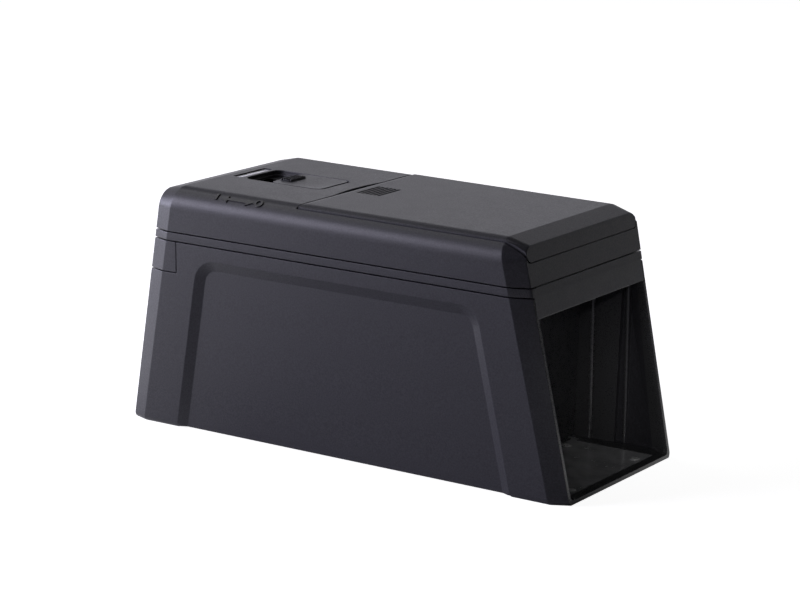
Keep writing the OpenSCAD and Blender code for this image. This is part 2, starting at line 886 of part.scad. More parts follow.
// The high-voltage transformer: ferrite core and wound bobbin
module transformer() {
    color("#3b3a38")
        union() {
            block([-60, -38], [9, 13.5], [board_top, 119]);
            block([-60, -38], [27.5, 32], [board_top, 119]);
            block([-60, -38], [9, 32], [114.6, 119]);
            block([-60, -38], [9, 32], [board_top, 105]);
            translate([-58, 20.5, 109.8])
                rotate([0, 90, 0])
                    cylinder(r = 4.4, h = 18, $fn = bore_steps);
            block([-57, -41], [14.3, 26.7], [105.6, 114]);
        }
}

// The high-voltage capacitor, lying on the board
module hv_capacitor() {
    color("#7a3b1e")
        union() {
            translate([-62, -20, board_top + 7.4])
                rotate([0, 90, 0])
                    cylinder(r = 7.2, h = 23, $fn = 64);
            block([-60, -41], [-24, -16], [board_top, board_top + 3]);
        }
}

// The small parts on the board: chip, storage can, choke and resistors
module board_parts() {
    color("#26262a")
        union() {
            block([-88, -78], [16, 26], [board_top, board_top + 2.2]);
            upright(-82, -25, board_top, board_top + 15, 5);
            upright(-70, 22, board_top, board_top + 8, 4);
            for (i = [0 : 3])
                block([-100, -93], [10 + i * 4, 12.2 + i * 4], [board_top, board_top + 1.8]);
            for (i = [0 : 2])
                block([-100, -93], [-16 - i * 4, -13.8 - i * 4], [board_top, board_top + 1.8]);
        }
}

// The tray that holds the four cells in two rows, screwed to the deck
module battery_tray() {
    color(tunnel_plastic)
        difference() {
            union() {
                block(tray_x, [-tray_half_w, tray_half_w], [deck_top, deck_top + tray_h]);
                for (side = [-1, 1], at = tray_ear_at)
                    upright(at[0], side * at[1], deck_top, deck_top + 3, 4.2);
                for (side = [-1, 1], at = tray_ear_at)
                    block([at[0] - 4.2, at[0] + 4.2],
                        side > 0 ? [tray_half_w - 1, at[1]] : [-at[1], -tray_half_w + 1],
                        [deck_top, deck_top + 3]);
            }
            for (side = [-1, 1])
                translate([tray_x[0] + tray_wall, side * cell_y, cell_z])
                    rotate([0, 90, 0])
                        cylinder(d = cell_d + 0.6, h = tray_x[1] - tray_x[0] - 2 * tray_wall,
                            $fn = 72);
            block([tray_x[0] + tray_wall, tray_x[1] - tray_wall], [-cell_y * 2 + 0.2, cell_y * 2 - 0.2],
                [cell_z, far]);
            // slots for the contact strips
            block([contact_front_x - contact_t - 0.1, contact_front_x], [-24.2, 24.2], [99.8, far]);
            block([contact_rear_x, contact_rear_x + contact_t + 0.1], [-24.2, 24.2], [99.8, far]);
            for (side = [-1, 1], at = tray_ear_at)
                upright(at[0], side * at[1], deck_top - 1, deck_top + 4, 1.5);
        }
}

// One C cell, with its button towards +X or -X
module cell(x, side, way) {
    translate([x, side * cell_y, cell_z])
        rotate([0, way > 0 ? 90 : -90, 0])
            union() {
                cylinder(d = cell_d, h = cell_l - button_l, $fn = 72);
                cylinder(d = button_d, h = cell_l, $fn = bore_steps);
            }
}

row_front = contact_front_x - contact_t;
row_rear = contact_rear_x + contact_t;

module battery_cell_1() {
    color("#c9a24a")
        cell(row_front - cell_l, -1, 1);
}

module battery_cell_2() {
    color("#c9a24a")
        cell(row_front - 2 * cell_l, -1, 1);
}

module battery_cell_3() {
    color("#c9a24a")
        cell(row_rear + cell_l, 1, -1);
}

module battery_cell_4() {
    color("#c9a24a")
        cell(row_rear + 2 * cell_l, 1, -1);
}

// The two contact springs, pressed between a contact and the foot of a cell
module battery_springs() {
    color("#cfd2d6")
        union() {
            translate([row_rear, -cell_y, cell_z])
                rotate([0, 90, 0])
                    cylinder(r1 = 8, r2 = 5, h = row_front - 2 * cell_l - row_rear, $fn = bore_steps);
            translate([row_front, cell_y, cell_z])
                rotate([0, -90, 0])
                    cylinder(r1 = 8, r2 = 5, h = row_front - 2 * cell_l - row_rear, $fn = bore_steps);
        }
}

// The contact strips at both ends of the tray
module battery_contacts() {
    color("#cfd2d6")
        union() {
            block([contact_front_x - contact_t, contact_front_x], [-24, 24], [100, 118]);
            for (side = [-1, 1])
                block([contact_rear_x, contact_rear_x + contact_t],
                    side > 0 ? [5, 24] : [-24, -5], [100, 118]);
            // solder tails that hook over the rear wall of the tray
            for (side = [-1, 1]) {
                block([tray_x[0] - contact_t, contact_rear_x + contact_t],
                    [side * 14 - 2, side * 14 + 2], [deck_top + tray_h, deck_top + tray_h + contact_t]);
                block([tray_x[0] - contact_t, tray_x[0]],
                    [side * 14 - 2, side * 14 + 2], [106, deck_top + tray_h + contact_t]);
            }
        }
}

// The leads from the board to the three electrode plates
module plate_leads() {
    lead_d = 1.8;
    over_deck = deck_top + 1.2;
    plate_top = plate_z + plate_t;
    color("#a02822")
        union() {
            for (i = [0, 1])
                wire([[lead_holes[i][0], lead_holes[i][1], plate_top],
                    [lead_holes[i][0], lead_holes[i][1], over_deck],
                    [60, 42.8 - i * 3.2, over_deck],
                    [-22, 42.8 - i * 3.2, over_deck],
                    [-30, 30 - i * 4, over_deck],
                    [-32.4, 30 - i * 4, board_top + 1.2],
                    [-36, 30 - i * 4, board_top + 0.9]], lead_d);
            wire([[lead_holes[2][0], lead_holes[2][1], plate_top],
                [lead_holes[2][0], lead_holes[2][1], over_deck],
                [0, -39, over_deck],
                [-22, -39, over_deck],
                [-30, -30, over_deck],
                [-32.4, -30, board_top + 1.2],
                [-36, -30, board_top + 0.9]], lead_d);
        }
}

// The leads from the battery contacts to the board
module battery_leads() {
    color("#1b1b1d")
        for (side = [-1, 1])
            wire([[tray_x[0] - 1.4, side * 14, 108],
                [-28, side * 13, 106],
                [-33, side * 10, board_top + 1.2],
                [-37, side * 6, board_top + 0.9]], 1.8);
}

// The screws that hold the deck on the bosses of the base
module deck_screws() {
    color("#8f9296")
        for (side = [-1, 1], at = deck_screw_at)
            screw_down(at[0], side * at[1], deck_top, 2.8, 9);
}

// The screws that hold the cover on the deck, driven from below
module cover_screws() {
    color("#8f9296")
        for (side = [-1, 1], at = cover_post_at)
            screw_up(at[0], side * at[1], deck_z, 2.8, 13);
}

// The screws of the board
module board_screws() {
    color("#8f9296")
        for (side = [-1, 1], at = board_post_at)
            screw_down(at[0], side * at[1], board_top, 2.2, 7);
}

// The screws of the battery tray
module tray_screws() {
    color("#8f9296")
        for (side = [-1, 1], at = tray_ear_at)
            screw_down(at[0], side * at[1], deck_top + 3, 2.4, 5);
}

// The screws that hang the baffles from the deck
module baffle_screws() {
    color("#8f9296")
        union() {
            for (y = far_screw_y)
                screw_down(far_baffle_x + baffle_t / 2 - 3.2, y, deck_top, 2.2, 10);
            for (y = near_screw_y)
                screw_down(near_baffle_x + baffle_t / 2 - 3.2, y, deck_top, 2.2, 10);
        }
}

base_shell();
mid_frame();
top_cover();
battery_lid();
rear_door();
bait_cup();
far_baffle();
near_baffle();
front_plate();
middle_plate();
rear_plate();
plate_rivets();
switch_slider();
switch_knob();
slide_switch();
indicator_window();
indicator_led();
circuit_board();
transformer();
hv_capacitor();
board_parts();
battery_tray();
battery_cell_1();
battery_cell_2();
battery_cell_3();
battery_cell_4();
battery_springs();
battery_contacts();
plate_leads();
battery_leads();
deck_screws();
cover_screws();
board_screws();
tray_screws();
baffle_screws();
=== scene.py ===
import math

import bmesh
import bpy
from mathutils import Matrix, Vector


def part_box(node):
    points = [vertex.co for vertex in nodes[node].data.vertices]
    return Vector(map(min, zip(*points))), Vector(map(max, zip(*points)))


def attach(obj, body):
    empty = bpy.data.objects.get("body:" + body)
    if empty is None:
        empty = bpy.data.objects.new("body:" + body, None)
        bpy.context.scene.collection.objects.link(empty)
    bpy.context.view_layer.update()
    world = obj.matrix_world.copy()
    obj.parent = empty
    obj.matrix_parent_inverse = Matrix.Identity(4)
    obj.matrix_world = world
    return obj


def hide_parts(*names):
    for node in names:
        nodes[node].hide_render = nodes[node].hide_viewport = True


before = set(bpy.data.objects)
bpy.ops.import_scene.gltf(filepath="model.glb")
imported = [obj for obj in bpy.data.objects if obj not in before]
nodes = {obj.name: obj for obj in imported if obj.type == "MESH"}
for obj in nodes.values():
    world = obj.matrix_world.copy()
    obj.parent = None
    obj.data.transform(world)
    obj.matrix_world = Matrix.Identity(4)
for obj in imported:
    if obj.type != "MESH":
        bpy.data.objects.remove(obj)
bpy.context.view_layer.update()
MM = 0.001

# Camera: stands about 1.5 m away, off the near side towards the entrance and a little above
# the lid, with a long lens, and leans by 1.4 degrees.
turn, tilt, roll = (math.radians(a) for a in (32.522, 13.416, 1.388))
stand = Vector((0.76204, -1.19719, 0.41252))
sensor_w, focal_px, picture_w = 36, 2787.324, 800
right = Vector((math.cos(turn), math.sin(turn), 0))
back = Vector((math.sin(turn) * math.cos(tilt), -math.cos(turn) * math.cos(tilt), math.sin(tilt)))
up = back.cross(right)
across = math.cos(roll) * right + math.sin(roll) * up
upward = -math.sin(roll) * right + math.cos(roll) * up
lens = bpy.data.cameras.new("studio_camera")
lens.sensor_width = sensor_w
lens.lens = focal_px * sensor_w / picture_w
lens.clip_start, lens.clip_end = 0.05, 30
camera = bpy.data.objects.new("studio_camera", lens)
bpy.context.scene.collection.objects.link(camera)
camera.matrix_world = Matrix.Translation(stand) @ Matrix((across, upward, back)).transposed().to_4x4()
bpy.context.scene.camera = camera

# Table: white paper under the feet, which the camera sees white with a faint shadow. Gloss
# and glass show it white only on the side of the rear end, and in a spot past the entrance.
table_half = 6
table_drop = 0.2 * MM
table_bm = bmesh.new()
bmesh.ops.create_grid(table_bm, x_segments=1, y_segments=1, size=table_half)
bmesh.ops.translate(table_bm, verts=table_bm.verts, vec=(0, 0, -table_drop))
table_mesh = bpy.data.meshes.new("table")
table_bm.to_mesh(table_mesh)
table_bm.free()
table = bpy.data.objects.new("table", table_mesh)
bpy.context.scene.collection.objects.link(table)


def feed(tree, socket, value):
    """Gives a socket a plain number, or links the output of another node to it."""
    if isinstance(value, (int, float)):
        socket.default_value = value
    else:
        tree.links.new(value, socket)


def joined(tree, a, b, kind="MULTIPLY"):
    """Two values multiplied, or joined by another operation."""
    step = tree.nodes.new("ShaderNodeMath")
    step.operation = kind
    feed(tree, step.inputs[0], a)
    feed(tree, step.inputs[1], b)
    return step.outputs[0]


def spread(tree, value, given, wanted):
    """A value taken from the given range to the wanted one, and held within it."""
    ramp = tree.nodes.new("ShaderNodeMapRange")
    for label, end in zip(("From Min", "From Max", "To Min", "To Max"), (*given, *wanted)):
        ramp.inputs[label].default_value = end
    tree.links.new(value, ramp.inputs["Value"])
    return ramp.outputs["Result"]


def share_along(tree, coords, axis, reach):
    """How far a place or direction lies along an axis: 0 at the start of reach and 1 at its end."""
    away = tree.nodes.new("ShaderNodeVectorMath")
    away.operation = "DOT_PRODUCT"
    away.inputs[1].default_value = axis
    tree.links.new(coords, away.inputs[0])
    return spread(tree, away.outputs["Value"], reach, (0, 1))


def seen_white(tree, camera_level, mirror_level, share):
    """How white a backdrop looks: camera_level to the camera, mirror_level x share in gloss and glass."""
    path = tree.nodes.new("ShaderNodeLightPath")
    mirrored = joined(tree, path.outputs["Is Glossy Ray"], path.outputs["Is Transmission Ray"], "MAXIMUM")
    in_gloss = joined(tree, joined(tree, mirrored, mirror_level), share)
    return joined(tree, joined(tree, path.outputs["Is Camera Ray"], camera_level), in_gloss, "MAXIMUM")


paper_grey = (0.72, 0.72, 0.72, 1)
paper_rear_way, paper_rear_reach = (-0.85, 0.5, 0), (0.02, 0.16)
paper_spot, paper_spot_reach = (0.21, 0.2, 0), (0.15, 0.25)
paper = bpy.data.materials.new("white_paper")
paper.use_nodes = True
paper_tree = paper.node_tree
paper_tree.nodes.clear()
paper_out = paper_tree.nodes.new("ShaderNodeOutputMaterial")
paper_lit = paper_tree.nodes.new("ShaderNodeBsdfDiffuse")
paper_lit.inputs["Color"].default_value = paper_grey
paper_glow = paper_tree.nodes.new("ShaderNodeEmission")
paper_sum = paper_tree.nodes.new("ShaderNodeAddShader")
paper_place = paper_tree.nodes.new("ShaderNodeTexCoord").outputs["Object"]
paper_rear = share_along(paper_tree, paper_place, paper_rear_way, paper_rear_reach)
from_spot = paper_tree.nodes.new("ShaderNodeVectorMath")
from_spot.operation = "DISTANCE"
from_spot.inputs[1].default_value = paper_spot
paper_tree.links.new(paper_place, from_spot.inputs[0])
paper_front = spread(paper_tree, from_spot.outputs["Value"], paper_spot_reach, (1, 0))
paper_share = joined(paper_tree, paper_rear, paper_front, "MAXIMUM")
paper_white = seen_white(paper_tree, camera_level=0.93, mirror_level=0.95, share=paper_share)
paper_tree.links.new(paper_white, paper_glow.inputs["Strength"])
paper_tree.links.new(paper_lit.outputs[0], paper_sum.inputs[0])
paper_tree.links.new(paper_glow.outputs[0], paper_sum.inputs[1])
paper_tree.links.new(paper_sum.outputs[0], paper_out.inputs["Surface"])
table_mesh.materials.append(paper)

# Air: a dim light from all round, which the camera sees white. Gloss and glass show it white
# only low down, beyond the far side of the rear end.
air_light, air_white = (1, 1, 1, 1), (1.02, 1.01, 1.09, 1)
air_strength = 0.03
air_rear_way, air_rear_reach = (-0.55, 0.83, 0), (0.4, 0.8)
air_low_reach, air_low_share = (0.28, 0.46), (1, 0.1)
sky = bpy.data.worlds.new("studio_air")
bpy.context.scene.world = sky
sky.use_nodes = True
sky_tree = sky.node_tree
sky_light = sky_tree.nodes["Background"]
sky_light.inputs["Color"].default_value = air_light
sky_light.inputs["Strength"].default_value = air_strength
sky_seen = sky_tree.nodes.new("ShaderNodeBackground")
sky_seen.inputs["Color"].default_value = air_white
sky_mix = sky_tree.nodes.new("ShaderNodeMixShader")
sky_way = sky_tree.nodes.new("ShaderNodeTexCoord").outputs["Generated"]
sky_height = sky_tree.nodes.new("ShaderNodeSeparateXYZ")
sky_tree.links.new(sky_way, sky_height.inputs[0])
sky_low = spread(sky_tree, sky_height.outputs["Z"], air_low_reach, air_low_share)
sky_share = joined(sky_tree, share_along(sky_tree, sky_way, air_rear_way, air_rear_reach), sky_low)
sky_white = seen_white(sky_tree, camera_level=1.0, mirror_level=0.94, share=sky_share)
sky_tree.links.new(sky_white, sky_mix.inputs[0])
sky_tree.links.new(sky_light.outputs[0], sky_mix.inputs[1])
sky_tree.links.new(sky_seen.outputs[0], sky_mix.inputs[2])
sky_tree.links.new(sky_mix.outputs[0], sky_tree.nodes["World Output"].inputs["Surface"])
bpy.context.scene.view_settings.view_transform = "Standard"


# Lamps: three soft ones, a little blue, stand behind the rear end on the near side, and a
# white one hangs high behind it. All are turned to the middle of the housing.
def hang(name, lamp_data, place, target):
    """Hangs a lamp at place, turned to target, both in metres."""
    lamp = bpy.data.objects.new(name, lamp_data)
    bpy.context.scene.collection.objects.link(lamp)
    lamp.location = place
    lamp.rotation_mode = "QUATERNION"
    lamp.rotation_quaternion = (Vector(target) - Vector(place)).to_track_quat("-Z", "Y")


housing_middle = (0, 0, 0.08)


def soft_lamp(name, place, size, power, colour=(1, 1, 1)):
    """A lamp of size metres wide and high, turned to the middle of the housing."""
    panel = bpy.data.lights.new(name, "AREA")
    panel.shape = "RECTANGLE"
    panel.size, panel.size_y = size
    panel.energy = power
    panel.color = colour
    hang(name, panel, place, housing_middle)


pale_blue, paler_blue = (0.8, 0.79, 1), (0.85, 0.82, 1)
soft_lamp("rear_lamp", (-1.45, -0.75, 0.55), size=(0.45, 0.8), power=17, colour=pale_blue)
soft_lamp("low_lamp", (-1.7, -0.3, 0.2), size=(0.8, 0.35), power=4.7, colour=pale_blue)
soft_lamp("shoulder_lamp", (-0.82, -0.78, 0.6), size=(0.6, 0.6), power=6.6, colour=paler_blue)
soft_lamp("top_lamp", (-1.0, 0, 1.3), size=(1, 1), power=3.5)

# Beam: a narrow spot lamp, which passes in front of the near corner post and lights the far
# side of the entrance.
beam = bpy.data.lights.new("tunnel_beam", "SPOT")
beam.energy = 17
beam.spot_size = math.radians(5)
beam.spot_blend = 0.5
beam.shadow_soft_size = 0.03
hang("tunnel_beam", beam, place=(0.7, -1.1, 0.46), target=(0.134, 0.05, 0.038))


# Housing mouldings: base, band, cover, lid, rear door and slider are charcoal ABS from
# tools with an even spark grain, so they are matt, with a fine speckle. The base is one
# moulding, whose tunnel side is polished black.
def new_group(name, inputs, outputs):
    """An empty node group with its inputs (name, kind, value) and outputs (name, kind)."""
    tree = bpy.data.node_groups.new(name, "ShaderNodeTree")
    for label, kind, value in inputs:
        socket = tree.interface.new_socket(label, in_out="INPUT", socket_type="NodeSocket" + kind)
        socket.default_value = value
    for label, kind in outputs:
        tree.interface.new_socket(label, in_out="OUTPUT", socket_type="NodeSocket" + kind)
    return tree, tree.nodes.new("NodeGroupInput"), tree.nodes.new("NodeGroupOutput")


def noise(tree, coords, scale, detail, rough=0.5):
    """A noise field on coords, with features of about 1 / scale metres."""
    field = tree.nodes.new("ShaderNodeTexNoise")
    field.inputs["Detail"].default_value = detail
    field.inputs["Roughness"].default_value = rough
    feed(tree, field.inputs["Scale"], scale)
    tree.links.new(coords, field.inputs["Vector"])
    return field.outputs["Fac"]


def tint(tree, colour, factor):
    """A colour made lighter or darker by a factor."""
    scaled = tree.nodes.new("ShaderNodeVectorMath")
    scaled.operation = "SCALE"
    tree.links.new(colour, scaled.inputs[0])
    tree.links.new(factor, scaled.inputs["Scale"])
    return scaled.outputs[0]


grain, grain_in, grain_out = new_group(
    "moulding_grain",
    [("Colour", "Color", (0.05, 0.05, 0.055, 1)), ("Speckle", "Float", 0.3),
     ("Roughness", "Float", 0.5), ("Grain scale", "Float", 1500.0), ("Edge wear and highlight", "Float", 0.3)],
    [("Colour", "Color"), ("Roughness", "Float"), ("Height", "Float")])
grain_at = grain.nodes.new("ShaderNodeTexCoord").outputs["Object"]
fine = noise(grain, grain_at, grain_in.outputs["Grain scale"], detail=2, rough=0.7)
broad = noise(grain, grain_at, 34, detail=3)
rubbed = noise(grain, grain_at, 150, detail=4, rough=0.65)
speck = spread(grain, fine, (0.36, 0.66), (-1, 1))
lift = joined(grain, joined(grain, speck, grain_in.outputs["Speckle"]), 1.0, "ADD")
cloudy = spread(grain, broad, (0.3, 0.7), (0.98, 1.02))
# Convex corners found by pointiness are lightened and made smoother: partly real edge wear, partly a
# painted highlight along the rims.
pointed = grain.nodes.new("ShaderNodeNewGeometry").outputs["Pointiness"]
corner = spread(grain, pointed, (0.52, 0.6), (0, 1))
worn_and_lit = joined(grain, joined(grain, corner, grain_in.outputs["Edge wear and highlight"]),
              spread(grain, rubbed, (0.35, 0.6), (0.4, 1)))
shade = joined(grain, joined(grain, lift, cloudy), joined(grain, worn_and_lit, 1.0, "ADD"))
grain.links.new(tint(grain, grain_in.outputs["Colour"], shade), grain_out.inputs["Colour"])
shine = joined(grain, grain_in.outputs["Roughness"],
               spread(grain, rubbed, (0.35, 0.75), (0.01, -0.015)), "ADD")
shine = joined(grain, shine, spread(grain, fine, (0.3, 0.7), (0.05, -0.05)), "ADD")
grain.links.new(joined(grain, shine, joined(grain, worn_and_lit, -0.15), "ADD"), grain_out.inputs["Roughness"])
grain.links.new(fine, grain_out.inputs["Height"])


def moulded(name, colour, rough, speckle, scale, depth, level=0.5, wear_and_highlight=0.3):
    """A plastic whose corners are lightened, partly as real wear and partly as a painted highlight, with a
    grain depth metres deep, of about scale grains per metre.
    """
    material = bpy.data.materials.new(name)
    material.use_nodes = True
    tree = material.node_tree
    shader = tree.nodes["Principled BSDF"]
    shader.inputs["Specular IOR Level"].default_value = level
    surface = tree.nodes.new("ShaderNodeGroup")
    surface.node_tree = grain
    for label, value in (("Colour", (*colour, 1)), ("Speckle", speckle), ("Roughness", rough),
                         ("Grain scale", scale), ("Edge wear and highlight", wear_and_highlight)):
        surface.inputs[label].default_value = value
    relief = tree.nodes.new("ShaderNodeBump")
    relief.inputs["Strength"].default_value = 0.5
    relief.inputs["Distance"].default_value = depth
    tree.links.new(surface.outputs["Colour"], shader.inputs["Base Color"])
    tree.links.new(surface.outputs["Roughness"], shader.inputs["Roughness"])
    tree.links.new(surface.outputs["Height"], relief.inputs["Height"])
    tree.links.new(relief.outputs[0], shader.inputs["Normal"])
    return material


charcoal = moulded("charcoal_abs", colour=(0.026, 0.0255, 0.03), rough=0.42, speckle=0.3,
                   scale=1300, depth=0.085 * MM)
black_gloss = moulded("black_tunnel_abs", colour=(0.044, 0.044, 0.047), rough=0.3, speckle=0.05,
                      scale=1500, depth=0.004 * MM)


def dressed(name, bm, body, materials, stands_for=(), soft=38, flat=True):
    """The bmesh as a piece that rides on body, with edges under soft degrees shaded round."""
    for e in bm.edges:
        e.smooth = math.degrees(e.calc_face_angle(0)) < soft
    for f in bm.faces:
        f.smooth = True
    mesh = bpy.data.meshes.new(name)
    bm.to_mesh(mesh)
    bm.free()
    piece = bpy.data.objects.new(name, mesh)
    bpy.context.scene.collection.objects.link(piece)
    for material in materials:
        mesh.materials.append(material)
    if flat:
        weighted = piece.modifiers.new("flat_faces", "WEIGHTED_NORMAL")
        weighted.keep_sharp = True
        weighted.weight = 50
    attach(piece, body)
    if stands_for:
        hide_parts(*stands_for)
    return piece


def copy_of(node):
    """A bmesh of the node's own form, with its triangles joined into whole faces."""
    bm = bmesh.new()
    bm.from_mesh(nodes[node].data)
    bmesh.ops.remove_doubles(bm, verts=bm.verts, dist=0.03 * MM)
    bmesh.ops.dissolve_degenerate(bm, dist=0.015 * MM, edges=bm.edges)
    bmesh.ops.dissolve_limit(bm, angle_limit=math.radians(0.8), verts=bm.verts, edges=bm.edges)
    return bm


def break_corners(bm, width, angle=12):
    """Rounds the edges sharper than angle degrees that meet no edge too short for width."""
    too_short = width * 1.6
    tight = {v for v in bm.verts if any(e.calc_length() < too_short for e in v.link_edges)}
    sharp = [e for e in bm.edges if e.is_manifold and math.degrees(e.calc_face_angle(0)) > angle
             and tight.isdisjoint(e.verts)]
    bmesh.ops.bevel(bm, geom=sharp, offset=width, offset_type="OFFSET", segments=2, profile=0.5,
                    affect="EDGES", clamp_overlap=False, material=-1)


def skin_of(node, width, materials, body="housing", stuff_at=None, soft=38):
    """The node's own form, its corners broken by width. stuff_at(x, y, z) picks a face's material."""
    bm = copy_of(node)
    if width:
        break_corners(bm, width)
    if stuff_at:
        for f in bm.faces:
            f.material_index = stuff_at(*f.calc_center_median())
    return dressed(node + "_skin", bm, body, materials, (node,), soft)


def half_width(z):
    """Half of the housing's width at height z, in metres: the sides lean outward."""
    at_ground, lean = 58.45 * MM, math.radians(1.66)
    return at_ground + z * math.tan(lean)


def front_face(z):
    """Where the entrance face lies along X at height z, in metres: it leans back."""
    at_ground, lean = 135.5 * MM, math.radians(12.8)
    return at_ground - z * math.tan(lean)


def tunnel_side(x, y, z):
    """1 where the base faces the tunnel, and 0 on its outside."""
    side_depth, floor_low = 4.3 * MM, 1.2 * MM
    return int(abs(y) < half_width(z) - side_depth and z > floor_low)


def under_seam(x, y, z):
    """1 on what lies behind the open seams, and 0 on the outer faces."""
    side_depth, front_depth = 2.2 * MM, 2.4 * MM
    return int(abs(y) < half_width(z) - side_depth and x < front_face(z) - front_depth)


corner_r = 0.35 * MM
skin_of("base_shell", corner_r, [charcoal, black_gloss], stuff_at=tunnel_side)
skin_of("mid_frame", corner_r, [charcoal, black_gloss], stuff_at=under_seam)
skin_of("top_cover", corner_r, [charcoal])
skin_of("battery_lid", corner_r, [charcoal], body="lid")
skin_of("rear_door", corner_r, [charcoal], body="door")
skin_of("switch_slider", 0.25 * MM, [charcoal], body="power_switch")


# Switch marks: an I, a double arrow and an O stand 0.6 mm proud of the cover's near
# shoulder beside the switch. They are part of the cover's tool, with a polished face.
shoulder_r = 11.5 * MM
cover_h, cover_h_at = 129.8 * MM, -65 * MM
top_slope = math.tan(math.radians(0.27))
mark_h, mark_root = 0.6 * MM, 0.2 * MM


def shoulder_place(x, s, lift):
    """The place x along the near shoulder, s down from its top edge and lift above it."""
    top = cover_h - (x - cover_h_at) * top_slope
    axis_z = top - shoulder_r
    axis_y = half_width(axis_z) - shoulder_r
    a = s / shoulder_r
    return (x, -axis_y - (shoulder_r + lift) * math.sin(a), axis_z + (shoulder_r + lift) * math.cos(a))


mark_bm = bmesh.new()


def flat_outline(corners):
    """A flat face through corners, given as x along and s down the shoulder in mm."""
    mark_bm.faces.new([mark_bm.verts.new((x * MM, s * MM, 0)) for x, s in corners])


def flat_bar(x, s):
    """A flat rectangle over a range x along and a range s down the shoulder, in mm."""
    flat_outline([(x[0], s[0]), (x[1], s[0]), (x[1], s[1]), (x[0], s[1])])


flat_bar((-79.2, -77.8), (4.8, 9.0))
flat_bar((-72.0, -58.6), (7.0, 8.3))
arrow_s, barb_s = 7.6, (5.4, 9.8)
flat_outline([(-75.4, arrow_s), (-71.2, barb_s[0]), (-71.2, barb_s[1])])
flat_outline([(-59.4, barb_s[0]), (-55.2, arrow_s), (-59.4, barb_s[1])])
ring_at, ring_r, ring_w = (-51.9 * MM, 7.0 * MM, 0), 2.4 * MM, 1.0 * MM
ring_out = bmesh.ops.create_circle(mark_bm, cap_ends=True, segments=32, radius=ring_r)["verts"]
bmesh.ops.translate(mark_bm, verts=ring_out, vec=ring_at)
ring_face = ring_out[0].link_faces[0]
bmesh.ops.inset_individual(mark_bm, faces=[ring_face], thickness=ring_w)
bmesh.ops.delete(mark_bm, geom=[ring_face], context="FACES")
long_edges = [e for e in mark_bm.edges if e.calc_length() > 3 * MM]
bmesh.ops.subdivide_edges(mark_bm, edges=long_edges, cuts=4, use_grid_fill=True)
proud = bmesh.ops.extrude_face_region(mark_bm, geom=list(mark_bm.faces), use_keep_orig=True)["geom"]
bmesh.ops.translate(mark_bm, verts=[v for v in proud if isinstance(v, bmesh.types.BMVert)],
                    vec=(0, 0, mark_h))
for v in mark_bm.verts:
    v.co = shoulder_place(v.co.x, v.co.y, v.co.z if v.co.z > 0 else -mark_root)
bmesh.ops.recalc_face_normals(mark_bm, faces=mark_bm.faces)
mark_abs = moulded("polished_mark_abs", colour=(0.022, 0.0215, 0.025), rough=0.3, speckle=0.1,
                   scale=1300, depth=0.02 * MM)
dressed("switch_marks", mark_bm, "housing", [mark_abs], flat=False)


# Lamp window: a milky acrylic light pipe, snapped up into the cover behind the switch. Its
# face has fine ribs that spread the light of the lamp.
def ribbed(material, axis, scale, depth):
    """Gives a material even ribs, which follow one another along an axis, instead of its grain."""
    tree = material.node_tree
    waves = tree.nodes.new("ShaderNodeTexWave")
    waves.bands_direction = axis
    waves.inputs["Scale"].default_value = scale
    tree.links.new(tree.nodes.new("ShaderNodeTexCoord").outputs["Object"], waves.inputs["Vector"])
    relief = tree.nodes["Bump"]
    tree.links.new(waves.outputs["Fac"], relief.inputs["Height"])
    relief.inputs["Distance"].default_value = depth


milky = moulded("milky_acrylic", colour=(0.95, 0.95, 0.96), rough=0.12, speckle=0.02,
                scale=900, depth=0.02 * MM, wear_and_highlight=0.0)
ribbed(milky, "Y", 160, 0.03 * MM)
skin_of("indicator_window", 0.25 * MM, [milky])

# Lamp: a green 5 mm diode with a domed epoxy body, which stands on the board under the
# window. Its two tinned legs go through the board.
lamp_epoxy = moulded("green_epoxy", colour=(0.18, 0.42, 0.16), rough=0.12, speckle=0.02,
                     scale=700, depth=0.01 * MM, wear_and_highlight=0.0)
lamp_epoxy.node_tree.nodes["Principled BSDF"].inputs["Transmission Weight"].default_value = 0.4
drawn_metal, drawn_in, drawn_out = new_group(
    "drawn_metal",
    [("Colour", "Color", (0.5, 0.5, 0.5, 1)), ("Roughness", "Float", 0.3), ("Streaks", "Float", 2000.0),
     ("Stretch", "Vector", (0.03, 1, 1)), ("Stain", "Float", 0.12)],
    [("Colour", "Color"), ("Roughness", "Float"), ("Height", "Float")])
drawn_at = drawn_metal.nodes.new("ShaderNodeTexCoord").outputs["Object"]
stretched = drawn_metal.nodes.new("ShaderNodeVectorMath")
stretched.operation = "MULTIPLY"
drawn_metal.links.new(drawn_at, stretched.inputs[0])
drawn_metal.links.new(drawn_in.outputs["Stretch"], stretched.inputs[1])
streaks = noise(drawn_metal, stretched.outputs[0], drawn_in.outputs["Streaks"], detail=3, rough=0.6)
stains = noise(drawn_metal, drawn_at, 90, detail=5, rough=0.6)
scuffs = noise(drawn_metal, drawn_at, 420, detail=3, rough=0.7)
streak_shade = spread(drawn_metal, streaks, (0.3, 0.7), (0.88, 1.08))
stain_share = spread(drawn_metal, stains, (0.45, 0.7), (0, 1))
stain_depth = joined(drawn_metal, stain_share, drawn_in.outputs["Stain"])
drawn_shade = joined(drawn_metal, streak_shade, joined(drawn_metal, 1.0, stain_depth, "SUBTRACT"))
drawn_colour = tint(drawn_metal, drawn_in.outputs["Colour"], drawn_shade)
drawn_metal.links.new(drawn_colour, drawn_out.inputs["Colour"])
drawn_rough = joined(drawn_metal, spread(drawn_metal, stains, (0.35, 0.75), (-0.04, 0.12)),
                     spread(drawn_metal, scuffs, (0.4, 0.75), (0, 0.1)), "ADD")
drawn_metal.links.new(joined(drawn_metal, drawn_in.outputs["Roughness"], drawn_rough, "ADD"),
                      drawn_out.inputs["Roughness"])
drawn_metal.links.new(streaks, drawn_out.inputs["Height"])


